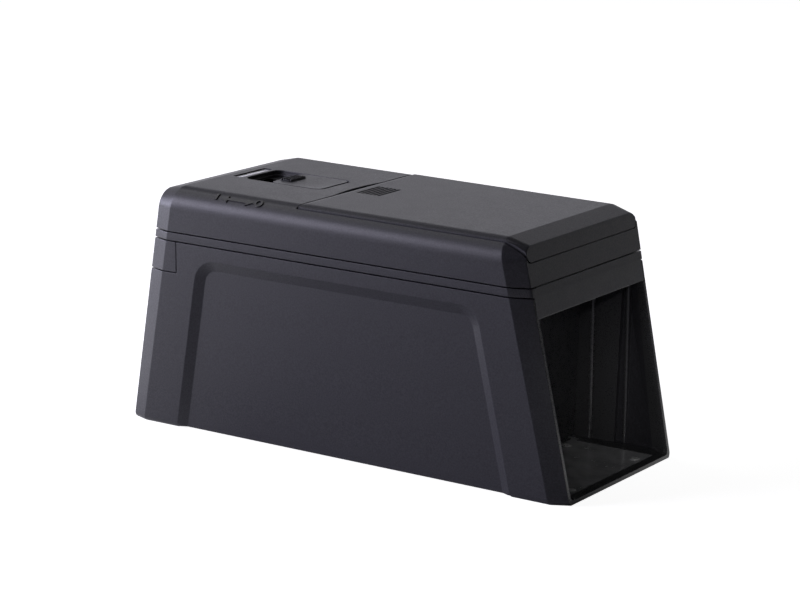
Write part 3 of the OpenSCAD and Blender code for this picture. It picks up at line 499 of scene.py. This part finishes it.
def metal(name, colour, rough, streak, stretch=(1, 1, 1), depth=0.01 * MM, stain=0.12, metallic=1.0):
    """A metal with faint stains and fine streaks, long in the direction where stretch is small."""
    material = bpy.data.materials.new(name)
    material.use_nodes = True
    tree = material.node_tree
    shader = tree.nodes["Principled BSDF"]
    shader.inputs["Metallic"].default_value = metallic
    drawn = tree.nodes.new("ShaderNodeGroup")
    drawn.node_tree = drawn_metal
    for label, value in (("Colour", (*colour, 1)), ("Roughness", rough), ("Streaks", streak),
                         ("Stretch", stretch), ("Stain", stain)):
        drawn.inputs[label].default_value = value
    relief = tree.nodes.new("ShaderNodeBump")
    relief.inputs["Strength"].default_value = 0.4
    relief.inputs["Distance"].default_value = depth
    tree.links.new(drawn.outputs["Colour"], shader.inputs["Base Color"])
    tree.links.new(drawn.outputs["Roughness"], shader.inputs["Roughness"])
    tree.links.new(drawn.outputs["Height"], relief.inputs["Height"])
    tree.links.new(relief.outputs[0], shader.inputs["Normal"])
    return material


tinned = metal("tinned_wire", colour=(0.62, 0.62, 0.6), rough=0.28, streak=900, stretch=(1, 1, 0.1))
epoxy_low = 101.8 * MM
skin_of("indicator_led", 0.1 * MM, [lamp_epoxy, tinned],
        stuff_at=lambda x, y, z: int(z < epoxy_low))


# Tunnel baffles: two polished black ABS walls, each with a flange along its side wall that
# ends in a round bead, hung by screws from the deck.
skin_of("far_baffle", 0.3 * MM, [black_gloss])
skin_of("near_baffle", 0.3 * MM, [black_gloss])

# Electrode plates: stainless sheet with a rolled finish along the tunnel, riveted into
# pockets in the floor. The tunnel round them is black, so they look dark.
rolled_steel = metal("rolled_steel", colour=(0.74, 0.74, 0.76), rough=0.14, streak=1400,
                     stretch=(0.03, 1, 1), depth=0.008 * MM, stain=0.3, metallic=0.55)
for plate in ("front_plate", "middle_plate", "rear_plate"):
    skin_of(plate, 0.1 * MM, [rolled_steel])

# Rivets: low aluminium heads with a rounded rim, four on a plate, pale and only half metallic all over:
# partly their own colour, partly a painted highlight for the glints on their tops. Their stems pass the
# plate and hold it to the floor.
# Pale, half-metallic aluminium: partly a painted highlight that stands in for glints.
pale_glint_aluminium = metal("rivet_aluminium", colour=(0.85, 0.85, 0.85), rough=0.26, streak=1100, metallic=0.4)
skin_of("plate_rivets", 0.22 * MM, [pale_glint_aluminium])


# Bait cup: natural polypropylene, moulded with its bracket and pressed on the rear door.
# It is waxy and faintly mottled.
waxy = moulded("natural_polypropylene", colour=(0.55, 0.52, 0.44), rough=0.45, speckle=0.08,
               scale=260, depth=0.03 * MM, level=0.4, wear_and_highlight=0.1)
skin_of("bait_cup", 0.4 * MM, [waxy], body="door")


# Circuit board: glass laminate with green lacquer over its copper, which shows as lighter
# lines, and a bare sawn edge. Four screws hold it on the deck.
lacquer = moulded("green_lacquer", colour=(0.012, 0.1, 0.045), rough=0.28, speckle=0.05,
                  scale=800, depth=0.02 * MM, wear_and_highlight=0.0)
copper_scale, copper_disorder = 190, 0.35
copper_line, copper_lift = (0.06, 0.09), (2.1, 1)
lacquer_tree = lacquer.node_tree
lacquer_at = lacquer_tree.nodes.new("ShaderNodeTexCoord").outputs["Object"]
copper_lines = lacquer_tree.nodes.new("ShaderNodeTexVoronoi")
copper_lines.feature = "DISTANCE_TO_EDGE"
copper_lines.inputs["Scale"].default_value = copper_scale
copper_lines.inputs["Randomness"].default_value = copper_disorder
lacquer_tree.links.new(lacquer_at, copper_lines.inputs["Vector"])
lacquer_shade = tint(lacquer_tree, lacquer_tree.nodes["Group"].outputs["Colour"],
                     spread(lacquer_tree, copper_lines.outputs["Distance"], copper_line, copper_lift))
lacquer_tree.links.new(lacquer_shade, lacquer_tree.nodes["Principled BSDF"].inputs["Base Color"])
laminate_edge = moulded("sawn_laminate", colour=(0.3, 0.3, 0.16), rough=0.6, speckle=0.25,
                        scale=900, depth=0.05 * MM, level=0.4, wear_and_highlight=0.0)
board_low, board_high = (corner[2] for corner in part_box("circuit_board"))
edge_margin = 0.3 * MM
skin_of("circuit_board", 0.1 * MM, [lacquer, laminate_edge],
        stuff_at=lambda x, y, z: int(board_low + edge_margin < z < board_high - edge_margin))


# Solder and pins: tinned joints where wires and parts meet the board, and the legs of the
# resistors and the chip, all of tinned wire or strip.
def box_at(bm, x, y, z):
    """A box given by its ranges along X, Y and Z in mm."""
    verts = bmesh.ops.create_cube(bm, size=1)["verts"]
    bmesh.ops.scale(bm, verts=verts, vec=[(r[1] - r[0]) * MM for r in (x, y, z)])
    bmesh.ops.translate(bm, verts=verts, vec=[(r[0] + r[1]) / 2 * MM for r in (x, y, z)])


def about(middle, reach):
    """The range that reaches as far to both sides of its middle."""
    return (middle - reach, middle + reach)


board_top = board_high / MM
joint_r, joint_lift, joint_flatness = 0.9, 0.1, 0.7
joint_bm = bmesh.new()
wire_joints = [(-36, 30), (-36, 26), (-36, -30), (-37, 6), (-37, -6)]
part_joints = [(-64, -20), (-37.4, -20), (-70, 27), (-70, 17), (-82, -18.6), (-82, -31.4)]
resistor_y = (11.1, 15.1, 19.1, 23.1, -14.9, -18.9, -22.9)
resistor_joints = [(x, y) for x in (-102, -91) for y in resistor_y]
for x, y in wire_joints + part_joints + resistor_joints:
    dome = bmesh.ops.create_uvsphere(joint_bm, u_segments=16, v_segments=8, radius=joint_r * MM)["verts"]
    bmesh.ops.scale(joint_bm, verts=dome, vec=(1, 1, joint_flatness))
    bmesh.ops.translate(joint_bm, verts=dome, vec=(x * MM, y * MM, (board_top + joint_lift) * MM))
leg_half_w = 0.3
for x in (-100.9, -92.1):
    for y in resistor_y:
        box_at(joint_bm, about(x, 1.2), about(y, leg_half_w), (board_top + 0.6, board_top + 1.1))
leg_count, first_leg_x, leg_pitch = 6, -86.6, 1.44
for foot_y, knee_y in ((15.2, 15.7), (26.8, 26.3)):
    for i in range(leg_count):
        leg_x = about(first_leg_x + leg_pitch * i, leg_half_w)
        box_at(joint_bm, leg_x, about(foot_y, 0.9), (board_top, board_top + 0.35))
        box_at(joint_bm, leg_x, about(knee_y, 0.2), (board_top + 0.2, board_top + 1.2))
dressed("board_joints", joint_bm, "housing", [tinned], flat=False)


# Switch on the board: a slide switch with a pressed, nickel-plated case and a white knob,
# which the slider of the housing carries along.
nickel = metal("nickel_plate", colour=(0.6, 0.58, 0.54), rough=0.24, streak=1300, stretch=(0.05, 1, 1))
skin_of("slide_switch", 0.2 * MM, [nickel])
knob_white = moulded("white_acetal", colour=(0.72, 0.72, 0.7), rough=0.35, speckle=0.03,
                     scale=700, depth=0.02 * MM, wear_and_highlight=0.05)
skin_of("switch_knob", 0.2 * MM, [knob_white], body="power_switch")


# Transformer: two ferrite halves round a bobbin, wound with enamelled wire, with a band of
# yellow tape over the winding.
ferrite = moulded("ferrite", colour=(0.035, 0.034, 0.034), rough=0.55, speckle=0.35,
                  scale=1100, depth=0.06 * MM, level=0.4, wear_and_highlight=0.5)
winding = metal("enamelled_copper", colour=(0.62, 0.24, 0.09), rough=0.3, streak=300)
ribbed(winding, "X", 320, 0.3 * MM)
coil_box = ((-57.4, -40.6), (14.0, 27.0), (105.4, 114.2))


def transformer_stuff(x, y, z):
    """1 on the winding, and 0 on the core and the bobbin's ends."""
    return int(all(low * MM < c < high * MM for c, (low, high) in zip((x, y, z), coil_box)))


skin_of("transformer", 0.4 * MM, [ferrite, winding], stuff_at=transformer_stuff)
tape_bm = bmesh.new()
box_at(tape_bm, (-53, -45), (14.15, 26.85), (105.45, 114.15))
break_corners(tape_bm, 0.5 * MM)
tape_yellow = moulded("polyester_tape", colour=(0.62, 0.44, 0.05), rough=0.22, speckle=0.05,
                      scale=400, depth=0.03 * MM, wear_and_highlight=0.0)
dressed("transformer_tape", tape_bm, "housing", [tape_yellow])


# Capacitor: a film roll dipped in brown epoxy, which hardens glossy with round ends. It lies
# on a foot that is glued to the board.
dipped = moulded("brown_epoxy", colour=(0.2, 0.062, 0.02), rough=0.18, speckle=0.06,
                 scale=240, depth=0.06 * MM, wear_and_highlight=0.0)
skin_of("hv_capacitor", 1.1 * MM, [dipped])


# Small parts: a chip in black epoxy, a storage can in a sleeve, a wound choke and seven
# resistors with coloured bands, all soldered to the board.
chip_epoxy = moulded("black_epoxy", colour=(0.014, 0.014, 0.015), rough=0.5, speckle=0.2,
                     scale=1500, depth=0.04 * MM)
sleeve = moulded("pvc_sleeve", colour=(0.02, 0.03, 0.09), rough=0.24, speckle=0.04,
                 scale=500, depth=0.02 * MM)
can_top = metal("can_aluminium", colour=(0.7, 0.7, 0.7), rough=0.3, streak=700)
enamel_tan, band_red, band_black = (0.42, 0.27, 0.13), (0.3, 0.02, 0.01), (0.01, 0.01, 0.01)
band_orange, band_gold = (0.45, 0.13, 0.01), (0.5, 0.34, 0.08)
resistor_x = (-100 * MM, -93 * MM)
band_w, bands_end = 0.09, 0.99
enamel = moulded("resistor_enamel", colour=enamel_tan, rough=0.25, speckle=0.05,
                 scale=900, depth=0.02 * MM, wear_and_highlight=0.0)
enamel_tree = enamel.node_tree
band_place = enamel_tree.nodes.new("ShaderNodeSeparateXYZ")
enamel_tree.links.new(enamel_tree.nodes.new("ShaderNodeTexCoord").outputs["Object"], band_place.inputs[0])
bands = enamel_tree.nodes.new("ShaderNodeValToRGB")
bands.color_ramp.interpolation = "CONSTANT"
bands.color_ramp.elements[0].color = (*enamel_tan, 1)
bands.color_ramp.elements[1].position = bands_end
bands.color_ramp.elements[1].color = (*enamel_tan, 1)
for start, colour in ((0.16, band_red), (0.36, band_black), (0.56, band_orange), (0.8, band_gold)):
    bands.color_ramp.elements.new(start).color = (*colour, 1)
    bands.color_ramp.elements.new(start + band_w).color = (*enamel_tan, 1)
enamel_tree.links.new(spread(enamel_tree, band_place.outputs["X"], resistor_x, (0, 1)), bands.inputs[0])
enamel_tree.links.new(bands.outputs[0], enamel_tree.nodes["Principled BSDF"].inputs["Base Color"])


def small_part_stuff(x, y, z):
    """0 chip, 1 sleeve, 2 top of the can, 3 resistor, 4 winding of the choke."""
    resistors_end, can_rim, choke_start = -91 * MM, 116.3 * MM, -75 * MM
    if x < resistors_end:
        return 3
    if y < 0:
        return 2 if z > can_rim else 1
    return 4 if x > choke_start else 0


skin_of("board_parts", 0.25 * MM, [chip_epoxy, sleeve, can_top, enamel, winding],
        stuff_at=small_part_stuff)


# Battery tray: a black ABS trough for two rows of cells, moulded with the four ears that its
# screws hold to the deck.
tray_abs = moulded("black_tray_abs", colour=(0.018, 0.018, 0.02), rough=0.38, speckle=0.2,
                   scale=1200, depth=0.05 * MM)
skin_of("battery_tray", 0.3 * MM, [tray_abs])

# C cells: a steel can in a printed jacket with a dark foot band, its ends crimped over, and
# a pressed button. The jacket is plain, without words.
jacket = moulded("jacket_gold", colour=(0.5, 0.3, 0.07), rough=0.22, speckle=0.03,
                 scale=300, depth=0.01 * MM, wear_and_highlight=0.1)
jacket.node_tree.nodes["Principled BSDF"].inputs["Metallic"].default_value = 0.6
dark_band = moulded("jacket_black", colour=(0.015, 0.015, 0.016), rough=0.2, speckle=0.03,
                    scale=300, depth=0.01 * MM, wear_and_highlight=0.1)
can_steel = metal("can_steel", colour=(0.62, 0.62, 0.6), rough=0.25, streak=800)
cell_r, cell_y, cell_z = 13.1, 13.6, 109
band_end, jacket_t = 14, 0.6
cell_side = [(1.2, 9.8), (0.2, 11.2), (0, 12.2), (0.3, cell_r - 0.3), (0.8, cell_r), (band_end, cell_r),
             (30, cell_r), (47.4, cell_r), (47.9, cell_r - 0.3), (48.2, 12.2), (48, 11.4), (47.3, 10.6),
             (47.3, 3.7), (49.2, 3.4), (49.8, 2.9), (50, 2.2)]
foot_row_way = [(38.3, -cell_y, 1), (-11.7, -cell_y, 1), (30.1, cell_y, -1), (80.1, cell_y, -1)]
for number, (foot, y, way) in enumerate(foot_row_way, 1):
    cell_bm = bmesh.new()
    rim = [cell_bm.verts.new((foot * MM + way * a * MM, y * MM, (cell_z + r) * MM)) for a, r in cell_side]
    profile = [cell_bm.edges.new(pair) for pair in zip(rim, rim[1:])]
    bmesh.ops.spin(cell_bm, geom=rim + profile, cent=(0, y * MM, cell_z * MM), axis=(1, 0, 0),
                   angle=math.tau, steps=64, use_merge=True)
    bmesh.ops.remove_doubles(cell_bm, verts=cell_bm.verts, dist=1e-6)
    bmesh.ops.holes_fill(cell_bm, edges=[e for e in cell_bm.edges if e.is_boundary], sides=0)
    bmesh.ops.recalc_face_normals(cell_bm, faces=cell_bm.faces)
    for f in cell_bm.faces:
        c = f.calc_center_median()
        from_foot = (c.x / MM - foot) * way
        in_jacket = math.hypot(c.y - y * MM, c.z - cell_z * MM) > (cell_r - jacket_t) * MM
        f.material_index = (2 if not in_jacket else 1 if from_foot < band_end else 0)
    dressed(f"cell_{number}", cell_bm, "housing", [jacket, dark_band, can_steel],
            (f"battery_cell_{number}",), soft=50, flat=False)


# Battery springs: two conical coils of nickel-plated spring wire, each welded to a contact by
# its wide end. Its narrow end presses on the foot of a cell.
spring_steel = metal("spring_wire", colour=(0.66, 0.65, 0.62), rough=0.2, streak=700)
wire_r, coil_r, coil_taper = 0.45, 7.2, 0.36
coil_turns, coil_steps = 3.2, 96
spring_bm = bmesh.new()
for x0, x1, y in ((-19.4, -12.2, -cell_y), (87.8, 80.6, cell_y)):
    wire_end = bmesh.ops.create_circle(spring_bm, cap_ends=True, segments=10, radius=wire_r * MM)["verts"]
    bmesh.ops.rotate(spring_bm, verts=wire_end, cent=(0, 0, 0), matrix=Matrix.Rotation(math.pi / 2, 3, "X"))
    bmesh.ops.translate(spring_bm, verts=wire_end, vec=(x0 * MM, y * MM, (cell_z + coil_r) * MM))
    other_spring = set(spring_bm.verts) - set(wire_end)
    face = wire_end[0].link_faces[0]
    bmesh.ops.spin(spring_bm, geom=[face, *face.edges, *face.verts], cent=(0, y * MM, cell_z * MM),
                   axis=(1, 0, 0), dvec=((x1 - x0) / coil_steps * MM, 0, 0),
                   angle=math.tau * coil_turns, steps=coil_steps)
    for v in set(spring_bm.verts) - other_spring:
        narrow = 1 - coil_taper * (v.co.x / MM - x0) / (x1 - x0)
        v.co.y = y * MM + (v.co.y - y * MM) * narrow
        v.co.z = cell_z * MM + (v.co.z - cell_z * MM) * narrow
bmesh.ops.recalc_face_normals(spring_bm, faces=spring_bm.faces)
dressed("spring_coils", spring_bm, "housing", [spring_steel], ("battery_springs",),
        soft=60, flat=False)

# Battery contacts: nickel-plated strips slotted into the tray, with tails hooked over its
# rear wall.
skin_of("battery_contacts", 0.12 * MM, [nickel])


# Leads: stranded wire in soft red and black insulation, soldered at both ends. The red ones
# run from the board to the plates, and the black ones from the battery contacts to the board.
def insulation(name, colour):
    """A soft coloured insulation with a slight sheen."""
    return moulded(name, colour, rough=0.36, speckle=0.06, scale=600, depth=0.03 * MM, wear_and_highlight=0.0)


for node, slot, wire in (("plate_leads", "lead_red", insulation("red_insulation", (0.36, 0.02, 0.015))),
                         ("battery_leads", "lead_black", insulation("black_insulation", (0.014,) * 3))):
    lead = skin_of(node, 0, [wire], soft=60)
    round_off = lead.modifiers.new("round_off", "SUBSURF")
    round_off.levels = round_off.render_levels = 1


# Screws: zinc-plated pan heads with a cross recess, from 2.2 to 2.8 mm thick, driven into
# the posts and bosses of the mouldings.
zinc = metal("zinc_plate", colour=(0.55, 0.55, 0.53), rough=0.3, streak=1000)
for screws in ("deck_screws", "cover_screws", "board_screws", "tray_screws", "baffle_screws"):
    skin_of(screws, 0.15 * MM, [zinc])
